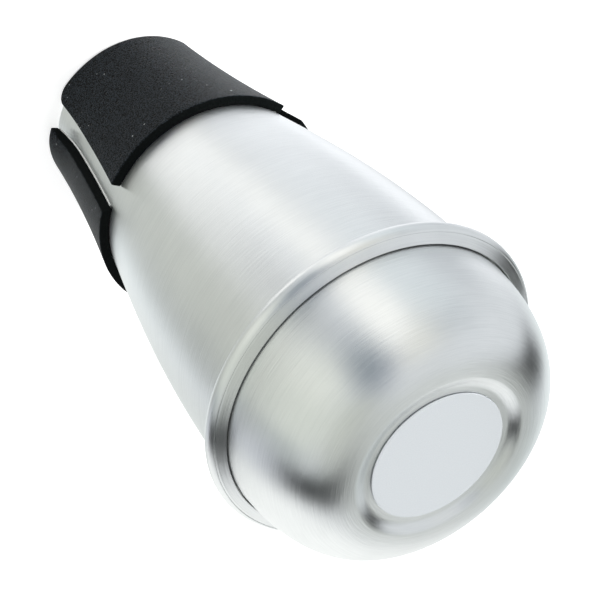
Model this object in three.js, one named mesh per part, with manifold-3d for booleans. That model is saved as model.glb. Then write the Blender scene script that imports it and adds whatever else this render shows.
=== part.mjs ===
// Practice mute for a trumpet: a spun aluminium chamber, open only at the mouth of its neck.
// It stands on the mouth. Origin: centre of the mouth. +Z runs along the axis to the domed end.
import * as THREE from "three";
import { mergeVertices } from "three/addons/utils/BufferGeometryUtils.js";
import Module from "manifold-3d";

const wasm = await Module();
wasm.setup();

// Driving dimensions, in millimetres
const sheetThickness = 1.0;
const mouthRadius = 16.15;
const neckEndRadius = 21.45; // where the neck turns into the body's long curve
const neckLength = 36.0;
const bodyEndRadius = 28.15;
const ringHeight = 91.6; // height of the bead's widest line
const ringOverhang = 2.85; // how far the bead stands out past the body's end
const domeStep = 0.15; // how far the dome's skirt lies inside the body's end
const domeRise = 20.45; // from the ring's widest line to the crest round the badge
const badgeRadius = 12.24;

// Neck: the two handles of its side curve, as shares of its widening and of its length
const neckHandleRadiusShares = [0.17, 0.503];
const neckHandleHeightShares = [0.315, 0.648];

// Body: its first handle carries the neck's slope on, the second is given as shares from the neck's end
const bodyHandleReach = 20.0;
const bodyHandleRadiusShare = 0.91;
const bodyHandleHeightShare = 0.6;

// Bead ring
const beadRadius = 1.55;
const webThickness = 0.6;
const bondThickness = 0.2;
const ringLandRise = 2.0; // height of the land's inner edge over the widest line
const ringLandStep = 0.12; // fine groove between the bead and the land
const socketGap = 0.15; // round the body's end
const seamGap = 0.25; // the dark line round the dome
const lipChamfer = 0.12;
const bondInset = 0.1; // the adhesive stops short of both edges of the sheet

// Dome: the two handles of its side curve, as shares of its inward run and of its rise
const domeHandleRadiusShares = [0.024, 0.312];
const domeHandleHeightShares = [0.575, 1.0];

// Badge and its dish
const badgeThickness = 0.2;
const badgeAdhesiveThickness = 0.1;
const badgeAdhesiveInset = 0.5;
const badgeMargin = 0.95; // flat floor left round the badge
const dishDepth = 0.85;
const dishSlopeWidth = 2.6; // from the flat floor to the crest
const dishHandleShares = [0.35, 0.65]; // where the slope leaves the crest and reaches the floor

// Foam pads and their adhesive film
const padThickness = 1.6;
const padLength = 34.0;
const padSetBack = 0.5; // from the mouth
const rightSlotWidth = 4.6; // straight gaps between the pads
const leftSlotWidth = 5.5;
const backSlotWidth = 4.6;
const tapeThickness = 0.15;
const tapeOverhang = 0.15; // film that shows past the foam along each slot
const tapeSetBack = 0.4; // the film ends short of the foam at both ends of the pad
const filmGap = 0.05; // round the neck, and again between the film and the foam

// Fineness of the round shapes
const turns = 60;
const neckSteps = 6;
const bodySteps = 8;
const padSteps = 4;
const shoulderSteps = 9;
const dishSteps = 6;
const beadSteps = 7;
const overrun = 2.0;

// Sizes and places that follow from them
const ringRadius = bodyEndRadius + ringOverhang;
const domeSkirtRadius = bodyEndRadius - domeStep;
const dishFloorRadius = badgeRadius + badgeMargin;
const domeCrestRadius = dishFloorRadius + dishSlopeWidth;
const webBottom = ringHeight - webThickness / 2;
const webTop = ringHeight + webThickness / 2;
const bodyLength = webBottom - bondThickness;
const skirtBottom = webTop + bondThickness;
const skirtTop = ringHeight + ringLandRise;
const crestHeight = ringHeight + domeRise;
const dishFloor = crestHeight - dishDepth;
const padTop = padSetBack + padLength;

// The pads are stuck on by hand, so their slots aren't quite a third of a turn apart
const slotTo = (degrees, width) => ({ angle: THREE.MathUtils.degToRad(degrees), width });
const rightSlot = slotTo(-30.6, rightSlotWidth);
const backSlot = slotTo(90, backSlotWidth);
const leftSlot = slotTo(-146, leftSlotWidth);

// Colour, roughness and metalness read from the photo
const spunAluminium = () =>
  new THREE.MeshStandardMaterial({ color: "#d3d6d6", roughness: 0.32, metalness: 1 });
const badgeSilver = () =>
  new THREE.MeshStandardMaterial({ color: "#dfe3e8", roughness: 0.4, metalness: 0.6 });
const blackFoam = () =>
  new THREE.MeshStandardMaterial({ color: "#26282a", roughness: 0.95, metalness: 0 });
const adhesiveFilm = () =>
  new THREE.MeshStandardMaterial({ color: "#d9dcd8", roughness: 0.5, metalness: 0 });
const clearAdhesive = () =>
  new THREE.MeshStandardMaterial({ color: "#c9c2a8", roughness: 0.6, metalness: 0 });

const at = (radius, height) => new THREE.Vector2(radius, height);
const mix = (from, to, share) => from + (to - from) * share;

// Turns an outline of (radius, height) points round +Z. The outline runs anticlockwise
// and closes on itself, or it starts and ends on the axis.
function turned(outline) {
  const geometry = new THREE.LatheGeometry(outline, turns);
  geometry.rotateX(Math.PI / 2);
  return geometry;
}

function closed(outline) {
  return [...outline, outline[0].clone()];
}

// Moves a side curve across its own direction, towards the hollow.
function offsetInwards(curve, distance) {
  return curve.map((point, i) => {
    const before = curve[Math.max(i - 1, 0)];
    const after = curve[Math.min(i + 1, curve.length - 1)];
    const along = after.clone().sub(before).normalize();
    return at(point.x - along.y * distance, point.y + along.x * distance);
  });
}

function welded(geometry) {
  geometry.deleteAttribute("normal");
  geometry.deleteAttribute("uv");
  return mergeVertices(geometry);
}

function toSolid(geometry) {
  const clean = welded(geometry);
  const vertProperties = new Float32Array(clean.attributes.position.array);
  const triVerts = new Uint32Array(clean.index.array);
  return new wasm.Manifold(new wasm.Mesh({ numProp: 3, vertProperties, triVerts }));
}

function toGeometry(solid) {
  const mesh = solid.getMesh();
  const geometry = new THREE.BufferGeometry();
  geometry.setAttribute("position", new THREE.BufferAttribute(mesh.vertProperties, 3));
  geometry.setIndex(new THREE.BufferAttribute(mesh.triVerts, 1));
  geometry.computeVertexNormals();
  return geometry;
}

function named(name, geometry, material) {
  const mesh = new THREE.Mesh(geometry, material);
  mesh.name = name;
  return mesh;
}

// Body: a gently flaring neck, then one long curve to the wide end
const neckHandles = neckHandleRadiusShares.map((share, i) =>
  at(mix(mouthRadius, neckEndRadius, share), neckLength * neckHandleHeightShares[i]),
);
const neckEnd = at(neckEndRadius, neckLength);
const neckCurve = new THREE.CubicBezierCurve(at(mouthRadius, 0), ...neckHandles, neckEnd);
const onwards = neckEnd.clone().sub(neckHandles[1]).setLength(bodyHandleReach);
const bodyCurve = new THREE.CubicBezierCurve(
  neckEnd,
  neckEnd.clone().add(onwards),
  at(
    mix(neckEndRadius, bodyEndRadius, bodyHandleRadiusShare),
    mix(neckLength, bodyLength, bodyHandleHeightShare),
  ),
  at(bodyEndRadius, bodyLength),
);

// Finds the point of the neck's curve at a height by halving the stretch that holds it.
function neckSideAt(height) {
  let low = 0;
  let high = 1;
  while (high - low > Number.EPSILON) {
    const middle = (low + high) / 2;
    if (neckCurve.getPoint(middle).y < height) {
      low = middle;
    } else {
      high = middle;
    }
  }
  return neckCurve.getPoint(low);
}

function bodyShell() {
  const outside = [...neckCurve.getPoints(neckSteps), ...bodyCurve.getPoints(bodySteps).slice(1)];
  const inside = offsetInwards(outside, sheetThickness);
  inside[0].y = 0;
  inside[inside.length - 1].y = bodyLength;
  return turned(closed([...outside, ...inside.reverse()]));
}

// Bead ring: a round bead, a sloping land, and a web between the body's end and the dome's
function rimRing() {
  const rearRadius = bodyEndRadius + socketGap;
  const frontRadius = domeSkirtRadius + seamGap;
  const webRadius = bodyEndRadius - sheetThickness;
  const beadCentre = at(ringRadius - beadRadius, ringHeight);
  const bead = [];
  const from = -Math.PI / 2;
  const to = Math.PI / 3;
  for (let i = 0; i <= beadSteps; i += 1) {
    const angle = mix(from, to, i / beadSteps);
    const reach = at(beadRadius * Math.cos(angle), beadRadius * Math.sin(angle));
    bead.push(beadCentre.clone().add(reach));
  }
  const beadEnd = bead[beadSteps];
  return turned(
    closed([
      at(rearRadius, ringHeight - beadRadius),
      ...bead,
      at(beadEnd.x - ringLandStep, beadEnd.y - ringLandStep / 2),
      at(beadEnd.x - 2 * ringLandStep, beadEnd.y + ringLandStep / 2),
      at(frontRadius + lipChamfer, skirtTop),
      at(frontRadius, skirtTop - lipChamfer),
      at(frontRadius, webTop),
      at(webRadius, webTop),
      at(webRadius, webBottom),
      at(rearRadius, webBottom),
    ]),
  );
}

// A flat ring of adhesive on the cut end of a sheet whose outer radius is given
function bondRing(sheetRadius, bottom) {
  const outer = sheetRadius - bondInset;
  const inner = sheetRadius - sheetThickness + bondInset;
  const top = bottom + bondThickness;
  return turned(closed([at(inner, bottom), at(outer, bottom), at(outer, top), at(inner, top)]));
}

// Dome: a straight skirt, a shoulder curve up to the crest, and the slope down to the dish
function endDome() {
  const handles = domeHandleRadiusShares.map((share, i) =>
    at(
      mix(domeSkirtRadius, domeCrestRadius, share),
      mix(skirtTop, crestHeight, domeHandleHeightShares[i]),
    ),
  );
  const shoulder = new THREE.CubicBezierCurve(
    at(domeSkirtRadius, skirtTop),
    ...handles,
    at(domeCrestRadius, crestHeight),
  ).getPoints(shoulderSteps);
  const slope = new THREE.CubicBezierCurve(
    at(domeCrestRadius, crestHeight),
    at(mix(domeCrestRadius, dishFloorRadius, dishHandleShares[0]), crestHeight),
    at(mix(domeCrestRadius, dishFloorRadius, dishHandleShares[1]), dishFloor),
    at(dishFloorRadius, dishFloor),
  ).getPoints(dishSteps);
  const outside = [...shoulder, ...slope.slice(1)];
  const inside = offsetInwards(outside, sheetThickness);
  inside[0] = at(domeSkirtRadius - sheetThickness, skirtTop);
  inside[inside.length - 1] = at(dishFloorRadius, dishFloor - sheetThickness);
  return turned([
    at(0, dishFloor - sheetThickness),
    ...inside.reverse(),
    at(domeSkirtRadius - sheetThickness, skirtBottom),
    at(domeSkirtRadius, skirtBottom),
    ...outside,
    at(0, dishFloor),
  ]);
}

function disc(radius, bottom, thickness) {
  const top = bottom + thickness;
  return turned([at(0, bottom), at(radius, bottom), at(radius, top), at(0, top)]);
}

// A layer round the neck, from one distance off the metal to another
function neckLayer(innerOffset, outerOffset, setBack) {
  const side = [];
  for (let i = 0; i <= padSteps; i += 1) {
    side.push(neckSideAt(mix(padSetBack + setBack, padTop - setBack, i / padSteps)));
  }
  const outside = offsetInwards(side, -outerOffset);
  const inside = offsetInwards(side, -innerOffset);
  return toSolid(turned(closed([...outside, ...inside.reverse()])));
}

// A point so far out along a slot, and so far to the left of its middle
function besideSlot(slot, out, left) {
  const along = at(Math.cos(slot.angle), Math.sin(slot.angle));
  const across = at(-along.y, along.x);
  return along.multiplyScalar(out).addScaledVector(across, left);
}

// The stretch of such a layer between two slots, anticlockwise from one to the other
function padBetween(layer, from, to, overhang) {
  const near = mouthRadius / 2;
  const far = 4 * ringRadius;
  const fromEdge = from.width / 2 - overhang;
  const toEdge = overhang - to.width / 2;
  const sector = new THREE.Shape([
    besideSlot(from, near, fromEdge),
    besideSlot(from, far, fromEdge),
    besideSlot(to, far, toEdge),
    besideSlot(to, near, toEdge),
  ]);
  const block = new THREE.ExtrudeGeometry(sector, {
    depth: padTop + 2 * overrun,
    bevelEnabled: false,
  });
  block.translate(0, 0, -overrun);
  return toGeometry(layer.intersect(toSolid(block)));
}

const mute = new THREE.Group();
mute.name = "practice_mute";
mute.add(
  named("body_shell", bodyShell(), spunAluminium()),
  named("rim_ring", rimRing(), spunAluminium()),
  named("body_bond", bondRing(bodyEndRadius, bodyLength), clearAdhesive()),
  named("dome_bond", bondRing(domeSkirtRadius, webTop), clearAdhesive()),
  named("end_dome", endDome(), spunAluminium()),
  named(
    "badge_adhesive",
    disc(badgeRadius - badgeAdhesiveInset, dishFloor, badgeAdhesiveThickness),
    adhesiveFilm(),
  ),
  named(
    "badge_disc",
    disc(badgeRadius, dishFloor + badgeAdhesiveThickness, badgeThickness),
    badgeSilver(),
  ),
);

const tapeLayer = neckLayer(filmGap, filmGap + tapeThickness, tapeSetBack);
const foamInside = 2 * filmGap + tapeThickness;
const foamLayer = neckLayer(foamInside, foamInside + padThickness, 0);
const padEdges = {
  front: [leftSlot, rightSlot],
  right: [rightSlot, backSlot],
  left: [backSlot, leftSlot],
};
for (const [side, [from, to]] of Object.entries(padEdges)) {
  const tape = padBetween(tapeLayer, from, to, tapeOverhang);
  const foam = padBetween(foamLayer, from, to, 0);
  mute.add(named("pad_tape_" + side, tape, adhesiveFilm()));
  mute.add(named("foam_pad_" + side, foam, blackFoam()));
}

export default mute;
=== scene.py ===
import math
from functools import lru_cache

import bmesh
import bpy
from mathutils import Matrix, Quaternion, Vector


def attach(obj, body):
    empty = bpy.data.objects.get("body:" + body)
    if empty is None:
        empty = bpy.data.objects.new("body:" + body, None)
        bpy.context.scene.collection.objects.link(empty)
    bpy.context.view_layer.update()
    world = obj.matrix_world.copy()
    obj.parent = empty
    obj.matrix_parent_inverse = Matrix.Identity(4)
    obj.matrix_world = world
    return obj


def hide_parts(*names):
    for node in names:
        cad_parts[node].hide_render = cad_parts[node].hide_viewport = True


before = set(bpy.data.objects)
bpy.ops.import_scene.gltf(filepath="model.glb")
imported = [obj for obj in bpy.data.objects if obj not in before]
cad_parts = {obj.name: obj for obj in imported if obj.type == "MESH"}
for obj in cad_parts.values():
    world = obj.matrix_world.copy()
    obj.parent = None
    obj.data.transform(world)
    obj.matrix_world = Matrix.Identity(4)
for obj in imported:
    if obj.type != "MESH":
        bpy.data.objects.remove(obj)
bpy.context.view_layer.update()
print("frame loaded:", len(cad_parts), "nodes")

fullTurn = 2 * math.pi
weldDistance = 1e-6  # m, vertices nearer than this become one


def mm(*values):
    return Vector(value / 1000 for value in values)


def direction(azimuth, elevation):
    a, e = math.radians(azimuth), math.radians(elevation)
    return Vector((math.cos(a) * math.cos(e), math.sin(a) * math.cos(e), math.sin(e)))


# sRGB hex to the linear values that Blender's sockets hold
def linear(hexColour, level=1.0):
    channels = [int(hexColour[i : i + 2], 16) / 255 for i in (1, 3, 5)]
    curve = [c / 12.92 if c <= 0.04045 else ((c + 0.055) / 1.055) ** 2.4 for c in channels]
    return tuple(c * level for c in curve) + (1.0,)


# Adds one node: values go to its sockets, links bring other nodes' outputs, the rest are its settings
def addNode(tree, kind, values=None, links=None, **settings):
    node = tree.nodes.new(kind)
    node.location = (len(tree.nodes) * 190, 0)
    for name, value in settings.items():
        setattr(node, name, value)
    for socket, value in (values or {}).items():
        node.inputs[socket].default_value = value
    for socket, source in (links or {}).items():
        tree.links.new(source, node.inputs[socket])
    return node


def newMaterial(name):
    material = bpy.data.materials.new(name)
    material.use_nodes = True
    material.node_tree.nodes.clear()
    return material, material.node_tree


# A long lens above the domed end, rolled so that the mute points down and to the right
cameraView = {
    "lens": 110.8,  # mm, on a 36 mm sensor
    "aim": (-0.3, -0.1, 66.8),  # mm, the point in the middle of the picture
    "distance": 321.8,
    "azimuth": -65.0,
    "elevation": 42.5,
    "roll": 138.0,
}


def placeCamera():
    towards = direction(cameraView["azimuth"], cameraView["elevation"])
    data = bpy.data.cameras.new("photoCamera")
    data.lens = cameraView["lens"]
    data.sensor_width = 36
    data.clip_start, data.clip_end = 0.01, 20
    camera = bpy.data.objects.new("photoCamera", data)
    bpy.context.scene.collection.objects.link(camera)
    camera.location = mm(*cameraView["aim"]) + towards * cameraView["distance"] / 1000
    level = (-towards).to_track_quat("-Z", "Y")
    camera.rotation_mode = "QUATERNION"
    camera.rotation_quaternion = level @ Quaternion((0, 0, 1), math.radians(cameraView["roll"]))
    bpy.context.scene.camera = camera


placeCamera()
print("camera placed")

studioFloor = {
    "size": 6.0,  # m
    "drop": 0.1,  # mm under the mouth, so that the two don't lie in one plane
    "paper": "#e6e6e5",
    "glow": 0.55,  # what only the camera sees, which makes the paper a white background
}

# Even light from all round, for everything that isn't a mirror
ambientLight = {"colour": "#f3f5f7", "level": 0.62}

# Each lamp's azimuth, elevation, distance (m), width (m) and watts, from a point on the axis in mm
lampAim = (0, 0, 60)
softLamps = {
    "keySoftbox": (-35, 48, 1.0, 0.9, 2.6),
    "fillSoftbox": (-150, 40, 1.1, 0.9, 2.0),
    "backSoftbox": (80, 55, 1.2, 0.9, 1.5),
    "rimSoftbox": (180, 8, 0.9, 0.5, 22.0),
}

# What bare metal mirrors, laid out by azimuth and elevation round the mute, in degrees:
# centre azimuth, centre elevation, half width, half height, soft edge share, colour, level
roomBase = ("#e6eaed", 1.03)
roomPanels = {
    "greyCeiling": (15, 78, 88, 34, 0.45, "#c2c6be", 1.09),
    "lavenderCeiling": (-76, 68, 30, 36, 0.6, "#a8aeb8", 1.08),
    "creamWall": (-120, 40, 22, 30, 0.6, "#ecece4", 1.04),
    "greyWall": (-140, 18, 16, 18, 0.8, "#d4dade", 1.0),
    "paleWall": (-124, -20, 26, 22, 0.7, "#ebf3f6", 1.05),
    "lowGrey": (-165, -31, 20, 10, 0.8, "#ccd1d6", 1.05),
    "lowWhiteRight": (-158, -61, 34, 13, 0.5, "#fafcff", 1.2),
    "lowWhiteBack": (156, -52, 38, 19, 0.4, "#fafcff", 1.52),
    "whiteSill": (78, -54, 34, 12, 0.5, "#f8ffff", 1.36),
    "greenWall": (-20, 6, 34, 46, 0.5, "#e4e9e0", 1.0),
    "greyDoor": (12, -6, 11, 28, 0.5, "#bdc5c3", 0.95),
    "greenSoftbox": (-42, 4, 17, 26, 0.7, "#fafdf4", 1.0),
    "lavenderLeg": (24, -24, 14, 16, 0.7, "#d6dae2", 1.16),
    "slateCurtain": (-71, 34, 15, 30, 0.75, "#87929a", 0.98),
    "stripSoftbox": (-98, -10, 14, 40, 0.5, "#fffffb", 1.25),
    "greyBand": (-12, -44, 46, 13, 0.5, "#bdbfb8", 1.12),
    "darkCorner": (-62, -35, 12, 11, 0.8, "#a4a8a8", 1.0),
    "darkDoorstep": (14, -42, 19, 11, 0.5, "#a4a7a2", 0.97),
    "greyShade": (6, -68, 38, 18, 0.5, "#c6cac4", 1.2),
    "whiteFloor": (-76, -80, 52, 24, 0.4, "#fffffc", 1.5),
    "whiteTable": (82, -10, 44, 42, 0.3, "#fdfffd", 1.2),
    "greyStreak": (122, 14, 8, 18, 0.7, "#c6cece", 1.05),
    "darkShelf": (40, 38, 12, 11, 0.6, "#8b9294", 0.95),
    "tableEdge": (66, -40, 30, 6, 0.6, "#d7dddb", 1.02),
    "whiteShelf": (132, -16, 20, 20, 0.6, "#f8ffff", 1.25),
    "lowSpot": (136, -44, 7, 7, 0.6, "#4c4744", 0.6),
}

# A black screen bent over the white table like an arch, with a pale gap near its top
darkArch = {
    "centre": (90, -8),
    "half": (66, 57),  # degrees from the centre to the middle of the band
    "width": 0.25,  # half the band, as a share of those
    "core": 0.06,
    "fadeFrom": -16.0,  # elevations between which it comes in
    "fadeTo": 8.0,
    "colour": "#0c1013",
    "gap": (118, 44, 16, 15, 0.6, "#cdd1cc", 1.12),
}


def buildFloor():
    bpy.ops.mesh.primitive_plane_add(size=studioFloor["size"], location=mm(0, 0, -studioFloor["drop"]))
    floor = bpy.context.object
    floor.name = "studioFloor"
    material, tree = newMaterial("mattePaperSweep")  # matte white paper: no gloss, a soft grey shadow
    rays = addNode(tree, "ShaderNodeLightPath")
    seen = addNode(
        tree,
        "ShaderNodeMath",
        {1: studioFloor["glow"]},
        {0: rays.outputs["Is Camera Ray"]},
        operation="MULTIPLY",
    )
    paper = addNode(tree, "ShaderNodeBsdfDiffuse", {"Color": linear(studioFloor["paper"])})
    glow = addNode(tree, "ShaderNodeEmission", {"Color": (1, 1, 1, 1)}, {"Strength": seen.outputs[0]})
    both = addNode(tree, "ShaderNodeAddShader", None, {0: paper.outputs[0], 1: glow.outputs[0]})
    addNode(tree, "ShaderNodeOutputMaterial", None, {"Surface": both.outputs[0]})
    floor.data.materials.append(material)
    floor.visible_glossy = False  # bare metal mirrors the room panels instead


def buildRoom():
    world = bpy.data.worlds.new("studioRoom")
    world.use_nodes = True
    bpy.context.scene.world = world
    tree = world.node_tree
    tree.nodes.clear()
    place = addNode(tree, "ShaderNodeTexCoord").outputs["Generated"]
    axes = addNode(tree, "ShaderNodeSeparateXYZ", None, {0: place}).outputs
    azimuth = addNode(tree, "ShaderNodeMath", None, {0: axes["Y"], 1: axes["X"]}, operation="ARCTAN2")
    elevation = addNode(tree, "ShaderNodeMath", None, {0: axes["Z"]}, operation="ARCSINE")
    angles = addNode(tree, "ShaderNodeCombineXYZ", None, {0: azimuth.outputs[0], 1: elevation.outputs[0]})
    room = addNode(tree, "ShaderNodeRGB").outputs[0]
    room.default_value = linear(*roomBase)

    def cover(room, share, colour, name):
        mix = addNode(tree, "ShaderNodeMix", {7: colour}, {0: share, 6: room}, data_type="RGBA", label=name)
        return mix.outputs[2]

    # distance from a centre in the room, where 1 is the edge of an ellipse round it
    def reachFrom(az, el, halfWidth, halfHeight):
        centre = [math.radians(az), math.radians(el), 0]
        half = [math.radians(halfWidth), math.radians(halfHeight), 1]
        offset = addNode(
            tree,
            "ShaderNodeVectorMath",
            {1: centre},
            {0: angles.outputs[0]},
            operation="SUBTRACT",
        ).outputs[0]
        shares = addNode(tree, "ShaderNodeVectorMath", {1: half}, {0: offset}, operation="DIVIDE").outputs[0]
        reach = addNode(tree, "ShaderNodeVectorMath", None, {0: shares}, operation="LENGTH")
        return reach.outputs["Value"]

    def softStep(value, start, end):
        return addNode(
            tree,
            "ShaderNodeMapRange",
            {"From Min": start, "From Max": end},
            {"Value": value},
            interpolation_type="SMOOTHSTEP",
        ).outputs["Result"]

    def hangPanel(room, name, az, el, halfWidth, halfHeight, soft, colour, level):
        share = softStep(reachFrom(az, el, halfWidth, halfHeight), 1 + soft, 1 - soft)
        return cover(room, share, linear(colour, level), name)

    for name, panel in roomPanels.items():
        room = hangPanel(room, name, *panel)

    reach = reachFrom(*darkArch["centre"], *darkArch["half"])
    off = addNode(tree, "ShaderNodeMath", {1: 1.0}, {0: reach}, operation="SUBTRACT").outputs[0]
    away = addNode(tree, "ShaderNodeMath", None, {0: off}, operation="ABSOLUTE").outputs[0]
    band = softStep(away, darkArch["width"], darkArch["core"])
    fadeFrom, fadeTo = math.radians(darkArch["fadeFrom"]), math.radians(darkArch["fadeTo"])
    fade = softStep(elevation.outputs[0], fadeFrom, fadeTo)
    arch = addNode(tree, "ShaderNodeMath", None, {0: band, 1: fade}, operation="MULTIPLY").outputs[0]
    room = cover(room, arch, linear(darkArch["colour"]), "darkArch")
    room = hangPanel(room, "archGap", *darkArch["gap"])

    rays = addNode(tree, "ShaderNodeLightPath").outputs
    ambient = addNode(tree, "ShaderNodeRGB").outputs[0]
    ambient.default_value = linear(ambientLight["colour"], ambientLight["level"])
    lit = addNode(
        tree,
        "ShaderNodeMix",
        None,
        {0: rays["Is Glossy Ray"], 6: ambient, 7: room},
        data_type="RGBA",
    )
    bare = addNode(
        tree,
        "ShaderNodeMath",
        None,
        {0: rays["Is Camera Ray"], 1: rays["Is Transmission Ray"]},
        operation="MAXIMUM",
    )
    white = cover(lit.outputs[2], bare.outputs[0], (1, 1, 1, 1), "whiteBackground")
    light = addNode(tree, "ShaderNodeBackground", {"Strength": 1.0}, {"Color": white})
    addNode(tree, "ShaderNodeOutputWorld", None, {"Surface": light.outputs[0]})


def hangLamps():
    for name, (az, el, distance, width, watts) in softLamps.items():
        data = bpy.data.lights.new(name, "AREA")
        data.shape, data.size, data.energy = "SQUARE", width, watts
        lamp = bpy.data.objects.new(name, data)
        bpy.context.scene.collection.objects.link(lamp)
        lamp.location = mm(*lampAim) + direction(az, el) * distance
        lamp.rotation_mode = "QUATERNION"
        lamp.rotation_quaternion = (-direction(az, el)).to_track_quat("-Z", "Y")
        lamp.visible_glossy = False


buildFloor()
buildRoom()
hangLamps()
bpy.context.scene.view_settings.view_transform = "Standard"
print("studio built")


smoothAngle = math.radians(30)  # edges that turn by more stay crisp


def finishPiece(piece, name, node, materials):
    piece.name = piece.data.name = name
    for material in materials:
        piece.data.materials.append(material)
    bpy.ops.object.select_all(action="DESELECT")
    piece.select_set(True)
    bpy.context.view_layer.objects.active = piece
    bpy.ops.object.shade_smooth_by_angle(angle=smoothAngle)
    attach(piece, "root")
    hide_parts(node)
    print("made", name, len(piece.data.polygons), "faces")
    return piece


# Draws a side curve in the XZ plane. Each knot is three (radius, height) points: handle, place, handle
def drawSideCurve(knots, steps):
    bpy.ops.object.select_all(action="DESELECT")
    bpy.ops.curve.primitive_bezier_curve_add(location=(0, 0, 0))
    curve = bpy.context.object
    points = curve.data.splines[0].bezier_points
    points.add(len(knots) - 2)
    for point, (before, here, after) in zip(points, knots):
        point.handle_left_type = point.handle_right_type = "FREE"
        point.handle_left = mm(before[0], 0, before[1])
        point.co = mm(here[0], 0, here[1])
        point.handle_right = mm(after[0], 0, after[1])
    curve.data.resolution_u = steps
    bpy.ops.object.convert(target="MESH")
    return bpy.context.object


# Turns everything in the mesh round the axis, as on a lathe, and closes the seam and the poles
def turnOnLathe(steps, angle=fullTurn):
    bpy.ops.object.mode_set(mode="EDIT")
    bpy.ops.mesh.select_all(action="SELECT")
    bpy.ops.mesh.spin(steps=steps, angle=angle, center=(0, 0, 0), axis=(0, 0, 1))
    bpy.ops.mesh.select_all(action="SELECT")
    bpy.ops.mesh.remove_doubles(threshold=weldDistance)
    bpy.ops.mesh.normals_make_consistent(inside=False)
    bpy.ops.object.mode_set(mode="OBJECT")


def applyModifier(piece, kind, **settings):
    bpy.context.view_layer.objects.active = piece
    modifier = piece.modifiers.new(kind.lower(), kind)
    for name, value in settings.items():
        setattr(modifier, name, value)
    bpy.ops.object.modifier_apply(modifier=modifier.name)


# Rounds the edges that turn by more than an angle in degrees. The width is in mm
def roundEdges(piece, width, segments, angle):
    applyModifier(
        piece,
        "BEVEL",
        width=width / 1000,
        segments=segments,
        limit_method="ANGLE",
        angle_limit=math.radians(angle),
    )


# Selects the vertices that pass a test on their place in millimetres
def selectWhere(piece, test):
    bpy.ops.object.mode_set(mode="EDIT")
    bpy.ops.mesh.select_mode(type="VERT")
    bpy.ops.mesh.select_all(action="DESELECT")
    mesh = bmesh.from_edit_mesh(piece.data)
    for vertex in mesh.verts:
        vertex.select = test(vertex.co * 1000)
    mesh.select_flush(True)
    bmesh.update_edit_mesh(piece.data)


bodyForm = {
    "wall": 1.0,
    "mouth": 16.15,
    "neck": [(17.051, 11.34), (18.816, 23.328)],  # handles of the gently flaring neck
    "neckEnd": (21.45, 36.0),
    "handles": [(25.52, 55.581), (27.547, 69.06)],
    "wideEnd": 28.15,
    "length": 91.1,
    "rows": 40,
    "turns": 192,
    "faceReach": 0.4,  # how near an end, in mm, a vertex is faced off with it
    "lipRound": 0.12,
}


def makeBody():
    form = bodyForm
    start, end = (form["mouth"], 0), (form["wideEnd"], form["length"])
    low, high = form["handles"]
    neckLow, neckHigh = form["neck"]
    knots = [(start, start, neckLow), (neckHigh, form["neckEnd"], low), (high, end, end)]
    body = drawSideCurve(knots, form["rows"])
    turnOnLathe(form["turns"])
    applyModifier(body, "SOLIDIFY", thickness=form["wall"] / 1000, offset=-1, use_even_offset=True)
    # the two cut ends are faced off square
    for height in (0, form["length"]):
        selectWhere(body, lambda place: abs(place.z - height) < form["faceReach"])
        bpy.ops.transform.resize(value=(1, 1, 0), center_override=mm(0, 0, height))
        bpy.ops.object.mode_set(mode="OBJECT")
    roundEdges(body, form["lipRound"], segments=2, angle=50)
    return body


ringForm = {
    "rear": (28.3, 90.055),
    "bead": (29.45, 91.6, 1.545),  # centre radius, centre height, radius
    "beadTurn": 150,  # degrees, from straight down round the outside
    "groove": 0.12,
    "lip": (28.37, 93.6),
    "lipChamfer": 0.12,
    "edgeRound": 0.03,
    "web": (27.15, 91.9, 91.3),  # inner radius, top, bottom
    "beadSteps": 24,
    "landSteps": 8,
    "turns": 240,
}


# Starts an outline in the XZ plane with a single vertex, left selected in edit mode
def startOutline(radius, height):
    bpy.ops.object.select_all(action="DESELECT")
    bpy.ops.mesh.primitive_plane_add(size=0.001, location=(0, 0, 0))
    bpy.ops.object.mode_set(mode="EDIT")
    bpy.ops.mesh.select_mode(type="VERT")
    bpy.ops.mesh.select_all(action="SELECT")
    bpy.ops.mesh.merge(type="CENTER")
    bpy.ops.transform.translate(value=mm(radius, 0, height))
    return bpy.context.object, (radius, height)


# Extrudes the outline's last vertex to a new place, in one or more steps
def drawTo(last, radius, height, steps=1):
    move = mm((radius - last[0]) / steps, 0, (height - last[1]) / steps)
    for _ in range(steps):
        bpy.ops.mesh.extrude_region_move(TRANSFORM_OT_translate={"value": move})
    return radius, height


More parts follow.
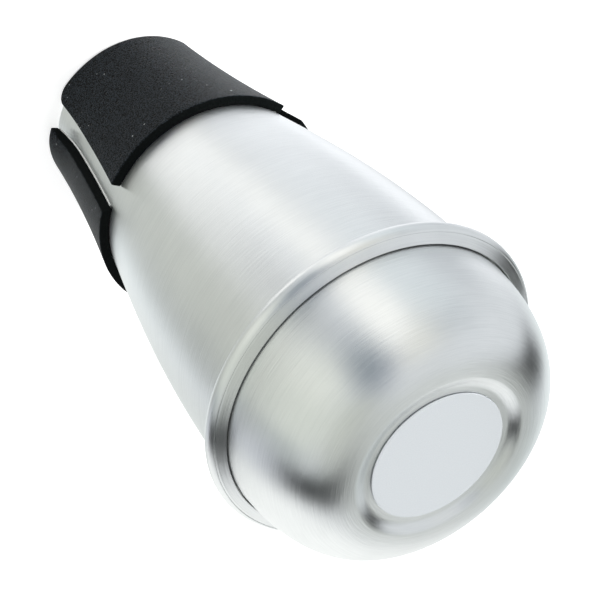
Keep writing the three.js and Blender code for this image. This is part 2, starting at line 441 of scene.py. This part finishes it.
def makeRing():
    form = ringForm
    ring, start = startOutline(*form["rear"])
    centreRadius, centreHeight, beadRadius = form["bead"]
    here = drawTo(start, centreRadius, centreHeight - beadRadius, 2)
    bpy.ops.mesh.spin(
        steps=form["beadSteps"],
        angle=math.radians(form["beadTurn"]),
        center=mm(centreRadius, 0, centreHeight),
        axis=(0, 1, 0),
    )
    end = math.radians(form["beadTurn"] - 90)
    here = centreRadius + beadRadius * math.cos(end), centreHeight + beadRadius * math.sin(end)
    groove, chamfer = form["groove"], form["lipChamfer"]
    lipRadius, lipHeight = form["lip"]
    webRadius, webTop, webBottom = form["web"]
    innerRadius = lipRadius - chamfer
    here = drawTo(here, here[0] - groove, here[1] - groove / 2)
    here = drawTo(here, here[0] - groove, here[1] + groove)
    here = drawTo(here, lipRadius, lipHeight, form["landSteps"])
    here = drawTo(here, innerRadius, lipHeight - chamfer)
    here = drawTo(here, innerRadius, webTop, 2)
    here = drawTo(here, webRadius, webTop)
    here = drawTo(here, webRadius, webBottom)
    here = drawTo(here, start[0], webBottom)
    drawTo(here, *start)
    bpy.ops.mesh.select_all(action="SELECT")
    bpy.ops.mesh.remove_doubles(threshold=weldDistance)
    bpy.ops.object.mode_set(mode="OBJECT")
    turnOnLathe(form["turns"])
    roundEdges(ring, form["edgeRound"], segments=2, angle=35)
    return ring


domeForm = {
    "wall": 1.0,
    "skirt": 28.0,
    "skirtBottom": 92.1,
    "skirtTop": 93.6,
    "crest": 15.79,
    "crestHeight": 112.05,
    "shoulder": [(27.71, 104.21), (24.19, 112.05)],
    "slope": [(14.88, 112.05), (14.1, 111.2)],
    "dish": 13.19,
    "dishHeight": 111.2,
    "edgeRound": 0.08,
    "steps": 40,
    "turns": 240,
}


def makeDome():
    form = domeForm
    bottom, top = (form["skirt"], form["skirtBottom"]), (form["skirt"], form["skirtTop"])
    crest, dish = (form["crest"], form["crestHeight"]), (form["dish"], form["dishHeight"])
    centre = (0, form["dishHeight"])
    knots = [
        (bottom, bottom, bottom),
        (top, top, form["shoulder"][0]),
        (form["shoulder"][1], crest, form["slope"][0]),
        (form["slope"][1], dish, dish),
        (centre, centre, centre),
    ]
    dome = drawSideCurve(knots, form["steps"])
    turnOnLathe(form["turns"])
    applyModifier(dome, "SOLIDIFY", thickness=form["wall"] / 1000, offset=-1, use_even_offset=True)
    roundEdges(dome, form["edgeRound"], segments=2, angle=60)
    return dome


badgeForm = {
    "radius": 12.24,
    "thickness": 0.2,
    "bottom": 111.3,
    "edgeRound": 0.06,
    "border": 0.35,
    "turns": 192,
}


def makeBadge():
    form = badgeForm
    bpy.ops.object.select_all(action="DESELECT")
    bpy.ops.mesh.primitive_cylinder_add(
        vertices=form["turns"],
        radius=form["radius"] / 1000,
        depth=form["thickness"] / 1000,
        end_fill_type="NGON",
        location=mm(0, 0, form["bottom"] + form["thickness"] / 2),
    )
    badge = bpy.context.object
    bpy.ops.object.transform_apply(location=True, rotation=True, scale=True)
    roundEdges(badge, form["edgeRound"], segments=4, angle=60)
    # a row of faces inside the rounded edge keeps the flat shaded flat
    bpy.ops.object.mode_set(mode="EDIT")
    bpy.ops.mesh.select_mode(type="FACE")
    bpy.ops.mesh.select_all(action="DESELECT")
    mesh = bmesh.from_edit_mesh(badge.data)
    for face in mesh.faces:
        face.select = len(face.verts) > 4
    bmesh.update_edit_mesh(badge.data)
    bpy.ops.mesh.inset(thickness=form["border"] / 1000, depth=0)
    bpy.ops.object.mode_set(mode="OBJECT")
    return badge


padForm = {
    "thickness": 1.6,
    "length": 34.0,  # along the metal
    "setBack": 0.5,  # from the mouth
    "offset": 0.25,  # from the metal, over the film
    "overhang": 0.0,
    "pressed": 0.2,  # how far the upper edge's underside is pushed down onto the metal
    "pressReach": 1.0,
    "layers": 3,
    "rows": 44,
    "turns": 64,
    "cutRound": 0.22,
}
filmForm = {
    "thickness": 0.15,
    "length": 32.3,
    "setBack": 0.9,
    "offset": 0.05,
    "overhang": 0.15,  # past the foam, along each slot
    "pressed": 0.0,
    "pressReach": 1.0,
    "layers": 2,
    "rows": 44,
    "turns": 64,
}

# Straight slots between the pads: the angle of the middle in degrees, and the width in mm
padSlots = {"right": (-30.6, 4.6), "back": (90, 4.6), "left": (-146, 5.5)}
padEdges = {"front": ("left", "right"), "right": ("right", "back"), "left": ("back", "left")}

# How far the pads have sprung off the metal: mm along the mouth's edge, mm at the corner by the right slot,
# how far the corner's lift reaches round the neck, and how far up. The right pad has let go there
padSpring = {
    "front": (0.0, 0.3, 8.0, 10.0),
    "right": (0.0, 1.4, 11.0, 10.0),
    "left": (0.0, 0.0, 8.0, 10.0),
}

# Corners by the right slot that are cut off: mm up, mm round, and 1 for a straight cut or 2 for a round one
cornerCuts = {"front": (2.6, 2.8, 2), "right": (3.2, 14.0, 1)}

# The right pad was cut on a slant along its slot: mm that its face stays back, and how far up that takes
cutLean = {"right": (1.0, 5.0)}


# Radius of the neck's metal at a height
@lru_cache(maxsize=None)
def neckRadius(height):
    points = (bodyForm["mouth"], 0), *bodyForm["neck"], bodyForm["neckEnd"]
    below, above = 0.0, 1.0
    for _ in range(40):
        t = (below + above) / 2
        shares = ((1 - t) ** 3, 3 * t * (1 - t) ** 2, 3 * t * t * (1 - t), t**3)
        z = sum(share * point[1] for share, point in zip(shares, points))
        below, above = (t, above) if z < height else (below, t)
    return sum(share * point[0] for share, point in zip(shares, points))


# 1 at 0, falling smoothly to 0 at 1
def easeOut(share):
    left = max(0.0, 1 - max(0.0, share))
    return left * left * (3 - 2 * left)


# How steeply the neck widens at a height, as an angle
def neckSlope(height):
    return math.atan2(neckRadius(height + 0.5) - neckRadius(height - 0.5), 1.0)


# The angles of a pad's two slot edges at a radius in mm
def padSpan(form, side, radius):
    (fromAngle, fromWidth), (toAngle, toWidth) = (padSlots[name] for name in padEdges[side])
    fromEdge = math.radians(fromAngle) + math.asin((fromWidth / 2 - form["overhang"]) / radius)
    toEdge = math.radians(toAngle) - math.asin((toWidth / 2 - form["overhang"]) / radius)
    return fromEdge, toEdge if toEdge > fromEdge else toEdge + fullTurn


# Where a point of a pad ends up, as mm up the metal and mm off it. up and off are where it starts, and
# fromSlot is how far round it is from the slot by the loose corner, in mm
def springOff(form, side, up, off, fromSlot):
    cut, around, shape = cornerCuts.get(side, (0, 1, 1))
    sweep = max(0.0, 1 - fromSlot / around)
    trim = cut * (1 - (1 - sweep**shape) ** (1 / shape))
    top = form["setBack"] + form["length"]
    up = top - (top - up) * (form["length"] - trim) / form["length"]
    edge, corner, reach, along = padSpring[side]
    lift = edge + (corner - edge) * easeOut(fromSlot / reach)
    rise = max(0.0, 1 - max(0.0, up - padForm["setBack"] - trim) / along)
    # the curl leans the layer back up the neck too
    return up + off * lift * 2 * rise / along, off + lift * rise * rise


stripTurn = fullTurn / 3


# A layer between two slots: a flat strip set on edge, turned round the axis, then laid on the neck
def makeNeckLayer(form, side):
    bpy.ops.object.select_all(action="DESELECT")
    bpy.ops.mesh.primitive_grid_add(
        x_subdivisions=form["layers"],
        y_subdivisions=form["rows"],
        size=1,
        location=(0, 0, 0),
        rotation=(math.radians(90), 0, 0),
        scale=(1, 1, 1),
    )
    piece = bpy.context.object
    bpy.ops.object.transform_apply(location=True, rotation=True, scale=True)
    bpy.ops.object.mode_set(mode="EDIT")
    bpy.ops.mesh.select_all(action="SELECT")
    # the strip now stands 1 to 2 m off the axis and 0 to 1 m up, so that both are read as shares
    bpy.ops.transform.translate(value=(1.5, 0, 0.5))
    bpy.ops.object.mode_set(mode="OBJECT")
    turnOnLathe(form["turns"], stripTurn)
    # a vertex's way out, way up and turn give its place off the metal, up it and round the neck
    for vertex in piece.data.vertices:
        x, y, z = vertex.co
        layer = math.hypot(x, y) - 1
        up = form["setBack"] + z * form["length"]
        press = form["pressed"] * (1 - layer) * easeOut((1 - z) * form["length"] / form["pressReach"])
        off = form["offset"] + layer * form["thickness"] - press
        # spin goes backwards, from the far slot to the near one
        share = min(1.0, max(0.0, -math.atan2(y, x) / stripTurn))
        lean, leanReach = cutLean.get(side, (0.0, 1.0))
        lean *= layer * form["thickness"] / padForm["thickness"] * min(1.0, z * form["length"] / leanReach)
        start, end = padSpan(form, side, neckRadius(up))
        fromSlot = (1 - share if side == "right" else share) * (end - start) * neckRadius(up)
        up, off = springOff(form, side, up, off, fromSlot)
        slope = neckSlope(up)
        radius = neckRadius(up) + off * math.cos(slope)
        start, end = padSpan(form, side, radius)
        angle = end + share * (start + lean / radius - end)
        vertex.co = mm(radius * math.cos(angle), radius * math.sin(angle), up - off * math.sin(slope))
    return piece


def makePad(side):
    pad = makeNeckLayer(padForm, side)
    roundEdges(pad, padForm["cutRound"], segments=3, angle=50)
    # the four cut walls take the second material, which is darker partly as painted shade
    for face in pad.data.polygons:
        away = Vector((face.center.x, face.center.y, 0)).normalized()
        face.material_index = 0 if abs(face.normal.dot(away)) > 0.7 else 1
    return pad


body = makeBody()
ring = makeRing()
dome = makeDome()
badge = makeBadge()
pads = {side: makePad(side) for side in padEdges}
films = {side: makeNeckLayer(filmForm, side) for side in padEdges}
print("pieces modelled")

# Spun aluminium, sanded on the lathe: a satin metal with fine lines round the axis, so highlights stretch
# across the lines and stay narrow along them
spunLook = {
    "colour": "#f9fafa",
    "shade": "#d4d6d7",
    "roughness": (0.25, 0.35),
    "anisotropic": 0.85,
    "rotation": 0.25,  # of a turn, so that highlights stretch across the lines
    "linePitch": 0.25,  # mm; the real lines are about 0.1 mm apart and wouldn't show
    "lineHeight": 0.05,  # mm
    "lineBreaks": 4.0,  # how often a line changes on its way round
    "cloudSize": 11.0,  # mm, soft patches left by the sanding cloth
    "cloudShare": 0.45,  # of the pattern, the rest is lines
}

# The ring is cut with a lathe tool and only lightly sanded: the same metal, whose lines run on for longer
# and differ more in gloss
turnedLook = dict(spunLook, roughness=(0.22, 0.38), lineBreaks=2.0, cloudSize=5.0)

# Silver polyester label: flat and pale with a faint metallic grain, semi-matte
labelLook = {
    "colour": "#e5e8eb",
    "shade": "#d9dde1",
    "metallic": 0.45,
    "roughness": (0.38, 0.46),
    "grain": 0.25,  # mm
    "grainHeight": 0.0006,
}

# Closed-cell rubber foam, split from a block: matte charcoal with fine cells, pinholes and a few pale
# specks. The pinholes are dented and get a near-black painted shade
foamLook = {
    "colour": "#020304",
    "light": "#30363b",
    # near-black painted shade inside the pinholes
    "pinholeShade": "#020303",
    "speck": "#b4b8b8",
    "cell": 0.24,  # mm
    "cellRange": (0.48, 0.585),  # the part of the noise that spans both tones
    "pinholePitch": 1.0,
    "pinholeSize": (0.001, 0.45),  # mm, the smallest and the largest
    "pinholeDepth": 0.05,
    "speckPitch": 1.7,
    "speckSize": (0.001, 0.26),
    "cellDepth": 0.025,
    "roughness": (0.5, 0.7),
    "specular": 0.04,
    "sheen": 0.19,
    "sheenRoughness": 0.25,
}

# The same foam where a knife has cut it: open cells, and painted shade that darkens the walls further
cutFoamAndShadeLook = {
    "colour": "#070909",
    "light": "#131616",
    "cell": 0.34,
    "cellDepth": 0.06,
    "roughness": (0.85, 1.0),
    "specular": 0.06,
}

# Pale double-sided tape: a thin milky film with a soft sheen
filmLook = {
    "colour": "#fafbf8",
    "shade": "#eef0ec",
    "mottle": 0.8,  # mm
    "mottleHeight": 0.01,
    "roughness": (0.35, 0.55),
    "coat": 0.0,
}

# Clear bonding adhesive, cured: honey-coloured and slightly lumpy
adhesiveLook = {
    "colour": "#cfc39a",
    "shade": "#b8aa7c",
    "mottle": 1.2,
    "mottleHeight": 0.01,
    "roughness": (0.2, 0.4),
    "coat": 0.2,
}


# Blends two colours by a pattern and gives the roughness from it too
def addSurface(tree, pattern, colours, roughness, bump, **constants):
    shade, colour = linear(colours[0]), linear(colours[1])
    tone = addNode(tree, "ShaderNodeMix", {6: shade, 7: colour}, {0: pattern}, data_type="RGBA")
    gloss = addNode(
        tree,
        "ShaderNodeMapRange",
        {"To Min": roughness[0], "To Max": roughness[1]},
        {"Value": pattern},
    )
    links = {"Base Color": tone.outputs[2], "Roughness": gloss.outputs["Result"], "Normal": bump}
    values = {name.replace("_", " "): value for name, value in constants.items()}
    return addNode(tree, "ShaderNodeBsdfPrincipled", values, links)


def addBump(tree, height, depth, below=None):
    links = {"Height": height}
    if below:
        links["Normal"] = below
    bump = addNode(tree, "ShaderNodeBump", {"Strength": 1.0, "Distance": depth / 1000}, links)
    return bump.outputs["Normal"]


# Lines that run round the axis: noise that is fine along the outline and slow on the way round
def addTurnedLines(tree, place, pitch, breaks):
    flat = addNode(
        tree,
        "ShaderNodeVectorMath",
        {1: (1, 1, 0)},
        {0: place},
        operation="MULTIPLY",
    ).outputs[0]
    radius = addNode(tree, "ShaderNodeVectorMath", None, {0: flat}, operation="LENGTH").outputs["Value"]
    unit = addNode(tree, "ShaderNodeVectorMath", None, {0: flat}, operation="NORMALIZE").outputs[0]
    around = addNode(tree, "ShaderNodeVectorMath", {"Scale": breaks}, {0: unit}, operation="SCALE")
    around = addNode(tree, "ShaderNodeSeparateXYZ", None, {0: around.outputs[0]}).outputs
    height = addNode(tree, "ShaderNodeSeparateXYZ", None, {0: place}).outputs["Z"]
    out = addNode(tree, "ShaderNodeMath", {1: 1000 / pitch}, {0: radius}, operation="MULTIPLY").outputs[0]
    up = addNode(tree, "ShaderNodeMath", {1: 1000 / pitch}, {0: height}, operation="MULTIPLY").outputs[0]
    where = addNode(tree, "ShaderNodeCombineXYZ", None, {0: out, 1: up, 2: around["X"]}).outputs[0]
    lines = addNode(
        tree,
        "ShaderNodeTexNoise",
        {"Scale": 1.0, "Detail": 3.0, "Roughness": 0.6},
        {"Vector": where, "W": around["Y"]},
        noise_dimensions="4D",
    )
    return lines.outputs[0]


def makeTurnedMetal(name, look):
    material, tree = newMaterial(name)
    place = addNode(tree, "ShaderNodeTexCoord").outputs["Object"]
    lines = addTurnedLines(tree, place, look["linePitch"], look["lineBreaks"])
    clouds = addNode(
        tree,
        "ShaderNodeTexNoise",
        {"Scale": 1000 / look["cloudSize"], "Detail": 2.0},
        {"Vector": place},
    )
    pattern = addNode(
        tree,
        "ShaderNodeMix",
        {0: look["cloudShare"]},
        {2: lines, 3: clouds.outputs[0]},
        data_type="FLOAT",
    )
    tangent = addNode(tree, "ShaderNodeTangent", direction_type="RADIAL", axis="Z")
    shader = addSurface(
        tree,
        pattern.outputs[0],
        (look["shade"], look["colour"]),
        look["roughness"],
        addBump(tree, lines, look["lineHeight"]),
        Metallic=1.0,
        Anisotropic=look["anisotropic"],
        Anisotropic_Rotation=look["rotation"],
    )
    tree.links.new(tangent.outputs[0], shader.inputs["Tangent"])
    addNode(tree, "ShaderNodeOutputMaterial", None, {"Surface": shader.outputs[0]})
    return material


def makeLabel(look):
    material, tree = newMaterial("silverPolyesterLabel")
    place = addNode(tree, "ShaderNodeTexCoord").outputs["Object"]
    grain = addNode(
        tree,
        "ShaderNodeTexNoise",
        {"Scale": 1000 / look["grain"], "Detail": 2.0},
        {"Vector": place},
    )
    shader = addSurface(
        tree,
        grain.outputs[0],
        (look["shade"], look["colour"]),
        look["roughness"],
        addBump(tree, grain.outputs[0], look["grainHeight"]),
        Metallic=look["metallic"],
    )
    addNode(tree, "ShaderNodeOutputMaterial", None, {"Surface": shader.outputs[0]})
    return material


# Marks at random points: 1 in a small spot round each, 0 elsewhere, with spots of several sizes
def addSpots(tree, place, pitch, smallest, largest):
    cells = addNode(
        tree,
        "ShaderNodeTexVoronoi",
        {"Scale": 1000 / pitch, "Randomness": 1.0},
        {"Vector": place},
    )
    size = addNode(
        tree,
        "ShaderNodeMapRange",
        {"From Min": 0.45, "From Max": 0.9, "To Min": smallest / pitch, "To Max": largest / pitch},
        {"Value": cells.outputs["Color"]},
    )
    share = addNode(
        tree,
        "ShaderNodeMath",
        None,
        {0: cells.outputs["Distance"], 1: size.outputs["Result"]},
        operation="DIVIDE",
    )
    spot = addNode(
        tree,
        "ShaderNodeMapRange",
        {"From Min": 1.0, "From Max": 0.45},
        {"Value": share.outputs[0]},
        interpolation_type="SMOOTHSTEP",
    )
    return spot.outputs["Result"]


def makeFoam(look):
    material, tree = newMaterial("closedCellFoam")
    place = addNode(tree, "ShaderNodeTexCoord").outputs["Object"]
    cells = addNode(
        tree,
        "ShaderNodeTexNoise",
        {"Scale": 1000 / look["cell"], "Detail": 2.0, "Roughness": 0.6},
        {"Vector": place},
    ).outputs[0]
    low, high = look["cellRange"]
    cells = addNode(tree, "ShaderNodeMapRange", {"From Min": low, "From Max": high}, {"Value": cells})
    cells = cells.outputs["Result"]
    pinholes = addSpots(tree, place, look["pinholePitch"], *look["pinholeSize"])
    specks = addSpots(tree, place, look["speckPitch"], *look["speckSize"])
    relief = addBump(tree, cells, look["cellDepth"])
    hollow = addNode(tree, "ShaderNodeMath", {1: -1.0}, {0: pinholes}, operation="MULTIPLY").outputs[0]
    shader = addSurface(
        tree,
        cells,
        (look["colour"], look["light"]),
        look["roughness"],
        addBump(tree, hollow, look["pinholeDepth"], relief),
        Specular_IOR_Level=look["specular"],
        Sheen_Weight=look["sheen"],
        Sheen_Roughness=look["sheenRoughness"],
    )
    tone = shader.inputs["Base Color"].links[0].from_socket
    # pale specks, then painted shade in the pinholes, over the cell tones
    for colour, spots in ((look["speck"], specks), (look["pinholeShade"], pinholes)):
        mix = addNode(tree, "ShaderNodeMix", {7: linear(colour)}, {0: spots, 6: tone}, data_type="RGBA")
        tone = mix.outputs[2]
    tree.links.new(tone, shader.inputs["Base Color"])
    addNode(tree, "ShaderNodeOutputMaterial", None, {"Surface": shader.outputs[0]})
    return material


def makeCutFoamAndShade(look):
    # the cut foam's own open cells, darkened further with painted shade
    material, tree = newMaterial("knifeCutFoamAndPaintedShade")
    place = addNode(tree, "ShaderNodeTexCoord").outputs["Object"]
    cells = addNode(tree, "ShaderNodeTexVoronoi", {"Scale": 1000 / look["cell"]}, {"Vector": place})
    cells = cells.outputs["Distance"]
    shader = addSurface(
        tree,
        cells,
        (look["colour"], look["light"]),
        look["roughness"],
        addBump(tree, cells, look["cellDepth"]),
        Specular_IOR_Level=look["specular"],
    )
    addNode(tree, "ShaderNodeOutputMaterial", None, {"Surface": shader.outputs[0]})
    return material


def makeMottled(name, look):
    material, tree = newMaterial(name)
    place = addNode(tree, "ShaderNodeTexCoord").outputs["Object"]
    mottle = addNode(
        tree,
        "ShaderNodeTexNoise",
        {"Scale": 1000 / look["mottle"], "Detail": 2.0},
        {"Vector": place},
    )
    shader = addSurface(
        tree,
        mottle.outputs[0],
        (look["shade"], look["colour"]),
        look["roughness"],
        addBump(tree, mottle.outputs[0], look["mottleHeight"]),
        Coat_Weight=look["coat"],
    )
    addNode(tree, "ShaderNodeOutputMaterial", None, {"Surface": shader.outputs[0]})
    return material


aluminium = makeTurnedMetal("spunAluminium", spunLook)
turned = makeTurnedMetal("turnedAluminium", turnedLook)
silver = makeLabel(labelLook)
foam = makeFoam(foamLook)
cutFoamAndShade = makeCutFoamAndShade(cutFoamAndShadeLook)
film = makeMottled("paleTapeFilm", filmLook)
adhesive = makeMottled("curedClearAdhesive", adhesiveLook)
print("materials made")

finishPiece(body, "spunBody", "body_shell", [aluminium])
finishPiece(ring, "beadRing", "rim_ring", [turned])
finishPiece(dome, "spunDome", "end_dome", [aluminium])
finishPiece(badge, "silverBadge", "badge_disc", [silver])
for side in padEdges:
    pad = finishPiece(pads[side], "foamPad_" + side, "foam_pad_" + side, [foam, cutFoamAndShade])
    finishPiece(films[side], "padFilm_" + side, "pad_tape_" + side, [film])

# the bonds and the badge's film stay as the CAD has them
for node, material in {"body_bond": adhesive, "dome_bond": adhesive, "badge_adhesive": film}.items():
    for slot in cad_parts[node].material_slots:
        slot.material = material
